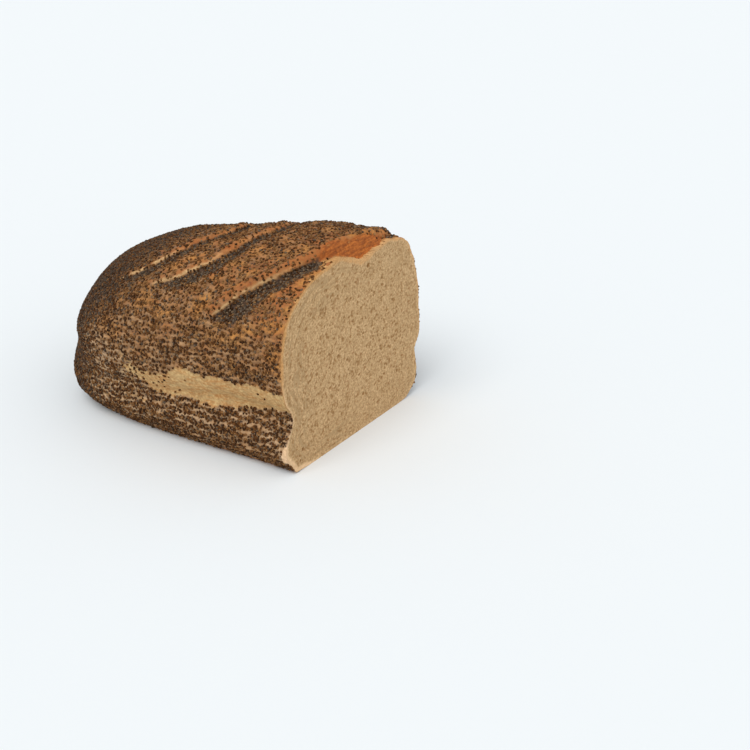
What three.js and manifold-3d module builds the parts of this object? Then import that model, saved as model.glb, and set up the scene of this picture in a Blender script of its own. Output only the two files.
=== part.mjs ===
// A poppy seed brown loaf, baked in a tin and cut straight across.
// Millimetres. +X runs along the loaf to the cut face, +Y to the far side and +Z up.
// The loaf stands on z = 0, and the origin is under the middle of its box.

import * as THREE from 'three';
import { MeshSurfaceSampler } from 'three/addons/math/MeshSurfaceSampler.js';
import { mergeVertices } from 'three/addons/utils/BufferGeometryUtils.js';
import Module from 'manifold-3d';

// The whole loaf
const loafLength = 157;
const middleHeight = 46; // the section is measured round a point this far above the base
const endHeight = 40; // height of the rounded end's foremost point
const sidewaysShift = 3.2; // centres the box, because the near side bulges further

// The section at the cut, as [across, up] from the far bottom edge over the top to the near one
const sectionKnots = [
  [47.5, 0.8], [54.5, 7], [57.2, 18], [59.5, 38], [56.8, 64], [46, 88.5], [26, 99.5],
  [0, 102], [-24, 99.3], [-43, 91.2], [-56.4, 75], [-60, 54], [-57.2, 28], [-57, 12], [-50.5, 0.8],
];
// The flat foot under the loaf, and how far the base then rises towards the rounded end
const foot = { halfWidth: 40, length: 104, endRise: 2.5 };

// Where the end starts to round, measured from the cut, and how square the rounding is
const endRounding = {
  crown: { start: -88, squareness: 3 },
  side: { start: 98, squareness: 2.75 },
  base: { start: 86, squareness: 5.5 },
};

// The baked body's own unevenness
const nearBulge = { reach: 7, fromCut: 90, length: 55 };
const lumps = { height: 0.55, length: 34 };
// The crown's far shoulder stands proud near the cut and sinks behind it, as [mm from the cut, rise]
const farShoulder = {
  round: -34,
  breadth: 22,
  rises: [[0, 3.2], [20, 2.9], [42, 1], [55, -1.6], [88, -2.4], [108, -0.4], [125, 0]],
};

// Splits where the dough rose out of the tin, one along each side
const nearSplit = { height: 28.5, depth: 5.4, width: 8.5, fadeFrom: 15, fadeTo: 150 };
const farSplit = { height: 24.5, depth: 4, width: 6.5, fadeFrom: 30, fadeTo: 130 };
const bareFace = { from: 31, to: 46, length: 85 }; // the near split's pale upper face, without seeds

// Slashes over the crown, as [mm round the loaf from its crown to the near side, mm from the cut]
const slashes = [
  { line: [[57, 117], [48, 97.5], [35, 85.5], [14, 80], [-12, 80], [-32, 84]], depth: 2.4, lip: 1.4 },
  { line: [[57, 88], [47.5, 69], [33, 56.5], [14, 54], [-14, 55], [-34, 60]], depth: 2.6, lip: 1.5 },
  { line: [[66, 45], [49, 30.5], [36, 19], [19, 11], [0, 7.5], [-22, 5], [-44, 6]], depth: 4.2, lip: 1.6 },
];
const crownRadius = 57; // turns an angle round the loaf into the slashes' mm
const slashFade = 7; // length over which a slash runs out at its ends
const valley = { offset: 3, width: 3.9 }; // on the cut's side of the slash
const lip = { offset: -2.8, width: 3 }; // the torn edge on its other side
const tornEdge = { depth: 7, round: -9, breadth: 17, length: 5.5 }; // where the last slash opens into the cut

// Facets, which lie closer together where the slashes are
const archSides = 62; // round the section, over the crown; the foot adds two corners
const ringCount = 52;
const slashedArc = { from: 1.1, to: 2.9, density: 1.6 }; // in radians round the loaf
const slashedLength = { to: 118, density: 1.45 }; // in mm from the cut

// Poppy seeds
const seedCount = 152;
const seedTries = 14; // places tried for each seed, of which the emptiest is kept
const seedLength = { least: 1.2, most: 1.5 };
const seedBreadth = 0.8; // of its length
const seedSink = 0.14; // of its length, from its middle down into the crust
const seedFreeEdge = 2.2; // the crust next to the cut has no seeds
const lowestSeed = 5;

const cutX = loafLength / 2;
const up = new THREE.Vector3(0, 0, 1);

function smooth(value) {
  return THREE.MathUtils.smoothstep(value, 0, 1);
}

function bell(value) {
  return Math.exp(-value * value);
}

// Reads the second number of sorted pairs at a given first number
function readLine(pairs, at) {
  if (at <= pairs[0][0]) {
    return pairs[0][1];
  }
  const last = pairs.length - 1;
  for (let i = 1; i <= last; i += 1) {
    if (at <= pairs[i][0]) {
      const part = (at - pairs[i - 1][0]) / (pairs[i][0] - pairs[i - 1][0]);
      return THREE.MathUtils.lerp(pairs[i - 1][1], pairs[i][1], part);
    }
  }
  return pairs[last][1];
}

function curveThrough(knots, pieces) {
  const curve = new THREE.SplineCurve(knots.map(([a, b]) => new THREE.Vector2(a, b)));
  return curve.getPoints(pieces);
}

// The arch as [angle, radius] pairs round the section's middle
const archCurve = curveThrough(sectionKnots, 400);
const archPolar = archCurve.map((point) => {
  const rise = point.y - middleHeight;
  const angle = Math.atan2(rise, point.x);
  const turned = angle < -Math.PI / 2 ? angle + 2 * Math.PI : angle;
  return [turned, Math.hypot(point.x, rise)];
});
const firstAngle = archPolar[0][0];
const lastAngle = archPolar[archPolar.length - 1][0];

function isOnFoot(angle) {
  return angle > lastAngle + 1e-9;
}

// Each slash as sorted [round, from the cut] pairs
const slashCurves = slashes.map(({ line, depth, lip: lipHeight }) => {
  const pairs = curveThrough(line, 60).map((point) => [point.x, point.y]);
  pairs.sort((a, b) => a[0] - b[0]);
  return { pairs, depth, lipHeight };
});

// How far the slash's line is ahead of a place on the crust, and how much of the slash is left there
function slashAt({ pairs }, fromCut, round) {
  const step = 1;
  const slope = (readLine(pairs, round + step) - readLine(pairs, round - step)) / (2 * step);
  const ahead = (fromCut - readLine(pairs, round)) / Math.hypot(1, slope);
  const start = pairs[0][0];
  const end = pairs[pairs.length - 1][0];
  const strength = smooth((round - start) / slashFade) * smooth((end - round) / slashFade);
  return { ahead: -ahead, strength };
}

function slashRelief(fromCut, round) {
  let height = 0;
  for (const slash of slashCurves) {
    const { ahead, strength } = slashAt(slash, fromCut, round);
    const sunk = slash.depth * bell((ahead - valley.offset) / valley.width);
    const raised = slash.lipHeight * bell((ahead - lip.offset) / lip.width);
    height += strength * (raised - sunk);
  }
  const opened = bell((round - tornEdge.round) / tornEdge.breadth) * bell(fromCut / tornEdge.length);
  return height - tornEdge.depth * opened;
}

function splitDepth(split, fromCut, height) {
  const strength = smooth((split.fadeTo - fromCut) / (split.fadeTo - split.fadeFrom));
  return strength * split.depth * bell((height - split.height) / split.width);
}

function lumpHeight(fromCut, round) {
  const a = fromCut / lumps.length;
  const b = round / lumps.length;
  return lumps.height * (Math.sin(2.1 * a + 1.3 * b) + Math.sin(3.4 * b - 1.7 * a + 2));
}

// The section's radius at an angle, with everything that swells or cuts the crust there
function radiusAt(fromCut, angle) {
  if (isOnFoot(angle)) {
    return -middleHeight / Math.sin(angle);
  }
  const plain = readLine(archPolar, angle);
  const height = middleHeight + plain * Math.sin(angle);
  const isNear = Math.cos(angle) < 0;
  const round = crownRadius * (angle - Math.PI / 2);
  const aboveBase = smooth(height / 12);
  const swelling = aboveBase * lumpHeight(fromCut, round) + shoulderRise(fromCut, round);
  const relief = swelling + slashRelief(fromCut, round);
  return plain + relief - splitDepth(isNear ? nearSplit : farSplit, fromCut, height);
}

function shoulderRise(fromCut, round) {
  return readLine(farShoulder.rises, fromCut) * bell((round - farShoulder.round) / farShoulder.breadth);
}

function bulgeAt(fromCut, angle) {
  const nearness = isOnFoot(angle) ? 0 : Math.max(-Math.cos(angle), 0);
  return nearness * nearBulge.reach * bell((fromCut - nearBulge.fromCut) / nearBulge.length);
}

// How much of the full section is left at a place along the loaf
function endScale(fromCut, angle) {
  if (isOnFoot(angle) && fromCut <= foot.length) {
    return 1;
  }
  const rise = Math.sin(angle);
  const high = smooth(rise);
  const low = smooth(-rise);
  const { crown, side, base } = endRounding;
  const mix = (key) => side[key] + (crown[key] - side[key]) * high + (base[key] - side[key]) * low;
  const start = mix('start');
  const squareness = mix('squareness');
  const run = THREE.MathUtils.clamp((fromCut - start) / (loafLength - start), 0, 1);
  return (1 - run ** squareness) ** (1 / squareness);
}

function crustPoint(fromCut, angle) {
  const scale = endScale(fromCut, angle);
  const radius = scale * radiusAt(fromCut, angle);
  const bulge = scale * bulgeAt(fromCut, angle);
  const drop = smooth((fromCut - 35) / (loafLength - 35));
  const centre = THREE.MathUtils.lerp(middleHeight, endHeight, drop);
  const baseHeight = (foot.endRise * Math.max(fromCut - foot.length, 0)) / (loafLength - foot.length);
  // Below its middle the section is squashed on to its base, and it bulges sideways only
  const squashed = (radius * (centre - baseHeight)) / middleHeight;
  const rise = Math.sin(angle);
  const height = centre + rise * (rise < 0 ? squashed : radius + bulge);
  const across = (radius + bulge) * Math.cos(angle) + sidewaysShift;
  return new THREE.Vector3(cutX - fromCut, across, Math.max(height, 0));
}

// Values spread so that the points they give lie at even distances, or closer where the density is higher
function evenSteps(pointAt, densityAt, from, to, count) {
  const fine = 600;
  const walked = [[0, from]];
  let previous = pointAt(from);
  for (let i = 1; i <= fine; i += 1) {
    const value = THREE.MathUtils.lerp(from, to, i / fine);
    const next = pointAt(value);
    walked.push([walked[i - 1][0] + next.distanceTo(previous) * densityAt(value), value]);
    previous = next;
  }
  const whole = walked[fine][0];
  return Array.from({ length: count + 1 }, (_, i) => readLine(walked, (whole * i) / count));
}

function sectionAngles() {
  const plainPoint = (angle) => {
    const radius = readLine(archPolar, angle);
    return new THREE.Vector3(0, radius * Math.cos(angle), radius * Math.sin(angle));
  };
  const isSlashed = (angle) => angle > slashedArc.from && angle < slashedArc.to;
  const density = (angle) => (isSlashed(angle) ? slashedArc.density : 1);
  const angles = evenSteps(plainPoint, density, firstAngle, lastAngle, archSides);
  for (const across of [-foot.halfWidth, foot.halfWidth]) {
    angles.push(Math.atan2(-middleHeight, across) + 2 * Math.PI);
  }
  return angles;
}

// The bread as one closed skin: the crust's rings, the flat cut and the end's foremost point
function makeBreadGeometry() {
  const angles = sectionAngles();
  const shoulder = 0.8 * Math.PI;
  const lastRing = loafLength * 0.999;
  const shoulderPoint = (fromCut) => crustPoint(fromCut, shoulder);
  const density = (fromCut) => (fromCut < slashedLength.to ? slashedLength.density : 1);
  const rings = evenSteps(shoulderPoint, density, 0, lastRing, ringCount);
  // One ring ends the foot exactly
  const footRing = rings.findIndex((fromCut) => fromCut > foot.length);
  rings[footRing] = foot.length;
  const sides = angles.length;
  const positions = [];
  const faces = [];
  for (const fromCut of rings) {
    for (const angle of angles) {
      positions.push(...crustPoint(fromCut, angle).toArray());
    }
  }
  const cutMiddle = positions.length / 3;
  positions.push(cutX, sidewaysShift, middleHeight);
  const endPoint = cutMiddle + 1;
  positions.push(cutX - loafLength, sidewaysShift, endHeight);
  for (let j = 0; j < sides; j += 1) {
    const next = (j + 1) % sides;
    faces.push(cutMiddle, j, next);
    for (let i = 0; i < rings.length - 1; i += 1) {
      const here = i * sides;
      const beyond = here + sides;
      faces.push(here + j, beyond + j, beyond + next);
      faces.push(here + j, beyond + next, here + next);
    }
    const tail = (rings.length - 1) * sides;
    faces.push(tail + j, endPoint, tail + next);
  }
  const geometry = new THREE.BufferGeometry();
  geometry.setAttribute('position', new THREE.Float32BufferAttribute(positions, 3));
  geometry.setIndex(faces);
  return geometry;
}

// A repeatable stream of numbers between 0 and 1
function makeRandom(start) {
  let state = start;
  return () => {
    state = (state * 1664525 + 1013904223) % 4294967296;
    return state / 4294967296;
  };
}

// Bare crust: the torn edges of the slashes, the pale face of the near split and the crust next to the cut
function isBare({ x, y, z }) {
  const fromCut = cutX - x;
  const turned = Math.atan2(z - middleHeight, y - sidewaysShift);
  const angle = turned < -Math.PI / 2 ? turned + 2 * Math.PI : turned;
  const round = crownRadius * (angle - Math.PI / 2);
  const onLip = slashCurves.some((slash) => {
    const { ahead, strength } = slashAt(slash, fromCut, round);
    return strength > 0.3 && Math.abs(ahead - lip.offset) < lip.width;
  });
  const onSplit = y < 0 && fromCut < bareFace.length && z > bareFace.from && z < bareFace.to;
  return onLip || onSplit || fromCut < seedFreeEdge || z < lowestSeed;
}

// Seeds lie at even distances: each one takes the emptiest of a few places on the crust
function seedPlaces(bread) {
  const random = makeRandom(7);
  const sampler = new MeshSurfaceSampler(new THREE.Mesh(bread)).setRandomGenerator(random).build();
  const places = [];
  while (places.length < seedCount) {
    let best = null;
    let bestRoom = -1;
    for (let i = 0; i < seedTries; i += 1) {
      const point = new THREE.Vector3();
      const normal = new THREE.Vector3();
      sampler.sample(point, normal);
      const room = Math.min(...places.map((place) => place.point.distanceTo(point)), 1e3);
      if (room > bestRoom && !isBare(point)) {
        best = { point, normal };
        bestRoom = room;
      }
    }
    if (best) {
      places.push(best);
    }
  }
  return places.map((place) => ({ ...place, spin: random(), size: random() }));
}

// One seed: a plump grain that lies on its side, half sunk in the crust
function makeSeedGeometry({ point, normal, spin, size }) {
  const length = THREE.MathUtils.lerp(seedLength.least, seedLength.most, size);
  const seed = new THREE.IcosahedronGeometry(length / 2, 0);
  seed.scale(1, seedBreadth, seedBreadth);
  seed.rotateZ(spin * 2 * Math.PI);
  seed.applyQuaternion(new THREE.Quaternion().setFromUnitVectors(up, normal));
  const middle = point.clone().addScaledVector(normal, -seedSink * length);
  seed.translate(middle.x, middle.y, middle.z);
  return seed;
}

const wasm = await Module();
wasm.setup();

function toSolid(geometry) {
  const bare = geometry.clone();
  bare.deleteAttribute('normal');
  bare.deleteAttribute('uv');
  const merged = mergeVertices(bare, 1e-4);
  return new wasm.Manifold(new wasm.Mesh({
    numProp: 3,
    vertProperties: new Float32Array(merged.attributes.position.array),
    triVerts: new Uint32Array(merged.index.array),
  }));
}

function toGeometry(solid) {
  const { vertProperties, triVerts } = solid.getMesh();
  const geometry = new THREE.BufferGeometry();
  geometry.setAttribute('position', new THREE.BufferAttribute(vertProperties, 3));
  geometry.setIndex(new THREE.BufferAttribute(triVerts, 1));
  geometry.computeVertexNormals();
  return geometry;
}

const bread = makeBreadGeometry();
let loafSolid = toSolid(bread);
for (const place of seedPlaces(bread)) {
  loafSolid = loafSolid.add(toSolid(makeSeedGeometry(place)));
}

const crustMaterial = new THREE.MeshStandardMaterial({ color: 0x8a5c38, roughness: 0.85, metalness: 0 });
const loaf = new THREE.Mesh(toGeometry(loafSolid), crustMaterial);
loaf.name = 'loaf';

const group = new THREE.Group();
group.add(loaf);

export default group;
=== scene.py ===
import itertools
import math

import bpy
import numpy as np
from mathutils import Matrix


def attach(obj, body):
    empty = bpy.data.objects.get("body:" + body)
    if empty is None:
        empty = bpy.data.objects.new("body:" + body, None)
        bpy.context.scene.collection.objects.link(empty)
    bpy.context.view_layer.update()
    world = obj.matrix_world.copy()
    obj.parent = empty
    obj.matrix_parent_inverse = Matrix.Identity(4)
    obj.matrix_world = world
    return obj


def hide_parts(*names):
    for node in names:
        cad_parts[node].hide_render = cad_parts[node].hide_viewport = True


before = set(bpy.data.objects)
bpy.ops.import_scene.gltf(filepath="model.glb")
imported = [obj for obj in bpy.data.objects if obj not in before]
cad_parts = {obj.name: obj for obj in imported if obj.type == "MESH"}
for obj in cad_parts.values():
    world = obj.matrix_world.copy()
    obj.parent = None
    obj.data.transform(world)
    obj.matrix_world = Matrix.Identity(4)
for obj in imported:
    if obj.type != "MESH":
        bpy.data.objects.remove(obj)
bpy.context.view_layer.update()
mm = 0.001  # the loaf's own measures are in millimetres, and its meshes in metres


def smooth(value):
    value = np.clip(value, 0, 1)
    return value * value * (3 - 2 * value)


def bell(value):
    return np.exp(-value * value)


def lengths(vectors):
    return np.linalg.norm(vectors, axis=-1)


def unit(vectors):
    return vectors / lengths(vectors)[:, None]


def polar(offsets):
    # the angles and distances of places from the middle they are measured from
    return np.arctan2(offsets[..., 1], offsets[..., 0]), np.hypot(offsets[..., 0], offsets[..., 1])


def linear(red, green, blue):
    # a colour as a photo shows it, 0 to 255, turned into the shader's values
    share = np.array([red, green, blue]) / 255
    light = np.where(share <= 0.04045, share / 12.92, ((share + 0.055) / 1.055) ** 2.4)
    return (*[float(value) for value in light], 1.0)


def splinePoints(knots, count):
    knots = np.array(knots, float)
    last = len(knots) - 1
    place = np.linspace(0, last, count + 1)
    index = np.minimum(np.floor(place).astype(int), last)
    part = (place - index)[:, None]
    before, here = knots[np.maximum(index - 1, 0)], knots[index]
    after, beyond = knots[np.minimum(index + 1, last)], knots[np.minimum(index + 2, last)]
    leaving, arriving = (after - before) / 2, (beyond - here) / 2
    cubic = 2 * here - 2 * after + leaving + arriving
    square = -3 * here + 3 * after - 2 * leaving - arriving
    return cubic * part ** 3 + square * part ** 2 + leaving * part + here


def noise(points, size, seed):
    # smooth noise from -1 to 1 at points in mm, with patches of about that size
    scaled = points / size
    cell = np.floor(scaled).astype(np.int64)
    part = smooth(scaled - cell)
    total = np.zeros(points.shape[:-1])
    for corner in np.ndindex(2, 2, 2):  # each corner's value is a hash of its place
        step = np.array(corner[::-1])
        mixed = (cell + step) @ np.array([374761393, 668265263, 1440662683]) + seed * 982451653
        mixed &= 0xFFFFFFFF
        mixed = (mixed ^ mixed >> 13) * 1274126177 & 0xFFFFFFFF
        value = (mixed ^ mixed >> 16) & 0xFFFF
        weight = np.prod(np.where(step == 1, part, 1 - part), axis=-1)
        total += weight * (value / 32767.5 - 1)
    return total


def addObject(name, data):
    item = bpy.data.objects.new(name, data)
    bpy.context.scene.collection.objects.link(item)
    return item


def meshPiece(name, material, points, faces, uv, attributes):
    # points in mm; faces are triangles; uv holds one pair for each corner of each face
    mesh = bpy.data.meshes.new(name)
    mesh.vertices.add(len(points))
    mesh.vertices.foreach_set("co", (np.asarray(points, np.float32) * mm).ravel())
    mesh.loops.add(faces.size)
    mesh.loops.foreach_set("vertex_index", faces.astype(np.int32).ravel())
    mesh.polygons.add(len(faces))
    mesh.polygons.foreach_set("loop_start", np.arange(0, faces.size, 3, dtype=np.int32))
    mesh.update(calc_edges=True)
    mesh.validate()
    mesh.shade_smooth()
    layer = mesh.uv_layers.new(name="OFBake")
    layer.data.foreach_set("uv", np.asarray(uv, np.float32).ravel())
    for key, values in attributes.items():
        layer = mesh.attributes.new(key, "FLOAT", "POINT")
        layer.data.foreach_set("value", np.asarray(values, np.float32).ravel())
    mesh.materials.append(material)
    return addObject(name, mesh)


def triangles(*trios):
    # faces from trios of arrays, each array with one corner of every face
    return np.concatenate([np.stack(trio, axis=-1).reshape(-1, 3) for trio in trios])


loafForm = {  # the loaf's form, the same as its solid
    "length": 157,
    "middleHeight": 46,
    "endHeight": 40,
    "sidewaysShift": 3.2,
    "sectionKnots": [
        [47.5, 0.8], [54.5, 7], [57.2, 18], [59.5, 38], [56.8, 64], [46, 88.5], [26, 99.5],
        [0, 102], [-24, 99.3], [-43, 91.2], [-56.4, 75], [-60, 54], [-57.2, 28], [-57, 12], [-50.5, 0.8],
    ],
    "footHalfWidth": 40,
    "footLength": 104,
    "endRise": 2.5,  # the base rises this much from the foot to the far end
    "dropFrom": 35,  # from here the section's middle comes down to the end's height
    "crownRounding": (-88, 3),  # where the end starts to round, from the cut, and how squarely
    "sideRounding": (98, 2.75),
    "baseRounding": (86, 5.5),
    "bulge": {"reach": 7, "fromCut": 90, "length": 55},
    "lumpHeight": 0.55,
    "lumpLength": 34,
    "farShoulder": {  # the crown's far shoulder stands proud near the cut and sinks behind it
        "around": -34, "breadth": 22,
        "fromCut": [0, 20, 42, 55, 88, 108, 125], "rise": [3.2, 2.9, 1, -1.6, -2.4, -0.4, 0],
    },
    "nearSplit": {"height": 28.5, "depth": 5.4, "width": 8.5, "fadeFrom": 15, "fadeTo": 150},
    "farSplit": {"height": 24.5, "depth": 4, "width": 6.5, "fadeFrom": 30, "fadeTo": 130},
    "crownRadius": 57,
}

slashForm = {
    "lines": [  # [mm round from the crown to the near side, mm from the cut]
        [[57, 117], [48, 97.5], [35, 85.5], [14, 80], [-12, 80], [-32, 84]],
        [[57, 88], [47.5, 69], [33, 56.5], [14, 54], [-14, 55], [-34, 60]],
        [[66, 45], [49, 30.5], [36, 19], [19, 11], [0, 7.5], [-22, 5], [-44, 6]],
    ],
    "depths": [2.4, 2.6, 4.2],
    "lips": [1.4, 1.5, 1.6],
    "fade": 7,
    "valleyOffset": 3,
    "valleyWidth": 3.9,
    "lipOffset": -2.8,
    "lipWidth": 3,
    "scarp": 0.55,  # height of the torn step at the lip's foot
    "wobble": 0.7,  # how far a slash strays from its line, within this length
    "wobbleSize": 8,
    "tornEdge": {"depth": 7, "round": -9, "breadth": 17, "length": 5.5},  # the last slash opens into the cut
}

cutX = loafForm["length"] / 2
sectionMiddle = np.array([loafForm["sidewaysShift"], loafForm["middleHeight"]])  # across and up
endTip = np.array([cutX - loafForm["length"], loafForm["sidewaysShift"], loafForm["endHeight"]])


def makeOutline():
    # the section as angles and radii round its middle: the arch, then the base
    form = loafForm
    arch = splinePoints(form["sectionKnots"], 400)
    half = form["footHalfWidth"]
    corners = np.array([form["sectionKnots"][-1], [-half, 0], [half, 0], form["sectionKnots"][0]])
    across = np.linspace(corners[0, 0], corners[-1, 0], 80)[1:]
    base = np.stack([across, np.interp(across, corners[:, 0], corners[:, 1])], axis=1)
    angle, radius = polar(np.concatenate([arch, base]) - [0, form["middleHeight"]])
    angle = np.unwrap(angle)
    angle -= math.tau * round((angle[0] + math.pi / 4) / math.tau)
    return angle, radius, len(arch) - 1


outlineAngle, outlineRadius, archEnd = makeOutline()
lastAngle = outlineAngle[archEnd]


def footShare(angle):
    # 1 over the flat foot, dying out to where the arch begins
    half = loafForm["footHalfWidth"]
    corners = [math.atan2(-loafForm["middleHeight"], across) + math.tau for across in (-half, half)]
    return np.interp(angle, [lastAngle, *corners, outlineAngle[0] + math.tau], [0, 1, 1, 0])


slashLines = [splinePoints(knots, 60)[::-1] for knots in slashForm["lines"]]


def slashAt(number, fromCut, around):
    # how far ahead of a slash, towards the cut, places are, and its strength there
    line = slashLines[number]

    def lineAt(place):
        return np.interp(place, line[:, 0], line[:, 1])

    slope = (lineAt(around + 1) - lineAt(around - 1)) / 2
    ahead = (lineAt(around) - fromCut) / np.hypot(1, slope)
    fade = slashForm["fade"]
    strength = smooth((around - line[0, 0]) / fade) * smooth((line[-1, 0] - around) / fade)
    return ahead, strength


def aroundOf(angle):
    return loafForm["crownRadius"] * (angle - math.pi / 2)


def strayed(fromCut, around):
    # shifts places a little, so that no slash runs dead straight
    flat = np.stack([fromCut, around, np.zeros_like(fromCut)], axis=-1)
    return fromCut + slashForm["wobble"] * noise(flat, slashForm["wobbleSize"], 3)


def slashRelief(fromCut, around):
    form = slashForm
    height = np.zeros_like(fromCut)
    shifted = strayed(fromCut, around)
    for number, (depth, rise) in enumerate(zip(form["depths"], form["lips"])):
        ahead, strength = slashAt(number, shifted, around)
        sunk = depth * bell((ahead - form["valleyOffset"]) / form["valleyWidth"])
        sunk += form["scarp"] * np.tanh((ahead - 0.2) / 0.5) * bell(ahead / 2.6)
        raised = rise * bell((ahead - form["lipOffset"]) / form["lipWidth"])
        height += strength * (raised - sunk)
    torn = form["tornEdge"]
    opened = bell((around - torn["round"]) / torn["breadth"]) * bell(fromCut / torn["length"])
    return height - torn["depth"] * opened


def splitDepth(split, fromCut, height):
    strength = smooth((split["fadeTo"] - fromCut) / (split["fadeTo"] - split["fadeFrom"]))
    return strength * split["depth"] * bell((height - split["height"]) / split["width"])


def crustRelief(fromCut, angle, height):
    # how proud the crust stands of the plain section
    form, around = loafForm, aroundOf(angle)
    a, b = fromCut / form["lumpLength"], around / form["lumpLength"]
    lumps = form["lumpHeight"] * (np.sin(2.1 * a + 1.3 * b) + np.sin(3.4 * b - 1.7 * a + 2))
    shoulder = form["farShoulder"]
    proud = np.interp(fromCut, shoulder["fromCut"], shoulder["rise"])
    proud *= bell((around - shoulder["around"]) / shoulder["breadth"])
    slashes = np.where(angle < lastAngle, slashRelief(fromCut, around), 0)
    near, far = (splitDepth(form[key], fromCut, height) for key in ("nearSplit", "farSplit"))
    return smooth(height / 12) * lumps + proud + slashes - np.where(np.cos(angle) < 0, near, far)


def endScale(fromCut, rise):
    # how the section shrinks into the rounded end: crown, sides and base each in its own way
    high, low = smooth(rise), smooth(-rise)
    side, crown, base = (loafForm[key] for key in ("sideRounding", "crownRounding", "baseRounding"))
    start, power = (side[i] + (crown[i] - side[i]) * high + (base[i] - side[i]) * low for i in (0, 1))
    run = np.clip((fromCut - start) / (loafForm["length"] - start), 0, 1)
    return (1 - run ** power) ** (1 / power)


def crustPoint(fromCut, angle):
    form, (shift, middle) = loafForm, sectionMiddle
    rise = np.sin(angle)
    scale = endScale(fromCut, rise)
    plain = np.interp(angle, outlineAngle, outlineRadius)
    radius = plain + crustRelief(fromCut, angle, middle + plain * rise)
    bulge = form["bulge"]
    swell = np.maximum(-np.cos(angle), 0) * (1 - footShare(angle)) * bulge["reach"]
    swell *= bell((fromCut - bulge["fromCut"]) / bulge["length"])
    radius, swell = radius * scale, swell * scale
    drop = smooth((fromCut - form["dropFrom"]) / (form["length"] - form["dropFrom"]))
    centre = middle + (form["endHeight"] - middle) * drop
    pastFoot = np.maximum(fromCut - form["footLength"], 0)
    baseHeight = form["endRise"] * pastFoot / (form["length"] - form["footLength"])
    squashed = radius * (centre - baseHeight) / middle
    z = np.maximum(centre + rise * np.where(rise < 0, squashed, radius + swell), 0)
    y = (radius + swell) * np.cos(angle) + shift
    return np.stack([cutX - fromCut, y, z], axis=-1)


def evenSteps(points, values, count):
    # values picked so that the points they belong to lie at even distances
    walked = np.concatenate([[0], np.cumsum(lengths(np.diff(points, axis=0)))])
    return np.interp(np.linspace(0, walked[-1], count), walked, values)


bareBand = {  # the split along the near side bares a pale face, between these heights
    "fromCut": [0, 16, 30, 47, 61, 67, 78, 84, 98],
    "low": [34, 31, 29, 25.4, 28, 27, 26, 31, 38.5],
    "high": [45.3, 46.8, 45.2, 46, 47.8, 41, 40.2, 39.5, 39.5],
    "ragged": 1.1,  # how far its edges stray, in mm
    "skinStep": 0.45,  # the seeded skin ends in a little step at its edge
    "strayFrom": [58, 70, 95],  # towards the rounded end more seeds lie on it
    "strayShare": [0.003, 0.12, 0.4],
}
paleStreaks = [  # thin bare lines beyond the band, each as two points of [mm from the cut, height]
    [[86, 19.5], [102, 22.6]], [[92, 30.3], [98, 34.7]], [[112, 27.8], [117, 33.5]],
    [[84, 39.5], [97, 45]], [[104, 15], [116, 17]], [[118, 24], [126, 29]],
]
slashMarks = {
    "lipWidth": [1.2, 1.3, 1.2],
    "glowWidth": [3.8, 4.8, 5.5],  # behind each lip the crust is orange and thin of seeds this far
    "valleyRound": [0, 14, 24, 60],
    "valleyWidth": [[3.2, 3.4, 3.8, 5], [3.6, 4.4, 6, 7], [5, 6.5, 8.5, 11.5]],
    "creamFrom": 28,  # the lips are cream at their lower ends and orange higher up
}
tornCrust = {  # where the last slash runs into the cut, its bared crust lies between these
    "around": [-60, -52, -40, -25, -13, -3, 6.5, 14, 20],
    "high": [2, 3, 5.2, 5.8, 7.9, 9.2, 11.9, 11.6, 10.8],
    "low": [-1, -1, -1, -1, 0.4, 3.2, 6.4, 8.4, 9.6],
}
cutEdge = {  # next to the cut the crust has no seeds
    "width": 0.7,
    "ragged": 0.5,
    "cornerWidth": 4.6,  # added at the near corner, round this height
    "cornerHeight": 10,
}


def spanShare(pairs, fromCut, height, width):
    # how near each place is to a thin straight streak
    (fromStart, heightStart), (fromEnd, heightEnd) = pairs
    run, climb = fromEnd - fromStart, heightEnd - heightStart
    part = (fromCut - fromStart) * run + (height - heightStart) * climb
    part = np.clip(part / (run ** 2 + climb ** 2), 0, 1)
    off = np.hypot(fromCut - fromStart - part * run, height - heightStart - part * climb)
    return smooth((width - off) / 0.5)


def bandShare(place, fromCut, angle):
    low = np.interp(fromCut, bareBand["fromCut"], bareBand["low"])
    high = np.interp(fromCut, bareBand["fromCut"], bareBand["high"])
    height = place[..., 2]
    ragged = bareBand["ragged"] * (noise(place, 4.2, 11) + 0.7 * noise(place, 1.5, 12))
    inside = np.minimum(height - low, high - height) + ragged * smooth((high - low) / 4)
    share = smooth((inside + 0.3) / 0.7) * (fromCut < bareBand["fromCut"][-1])
    bent = height + 1.2 * noise(place, 6, 13)
    width = 0.9 + 0.3 * noise(place, 3, 14)
    for streak in paleStreaks:
        share = np.maximum(share, 0.85 * spanShare(streak, fromCut, bent, width))
    return share * (np.cos(angle) < 0)


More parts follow.
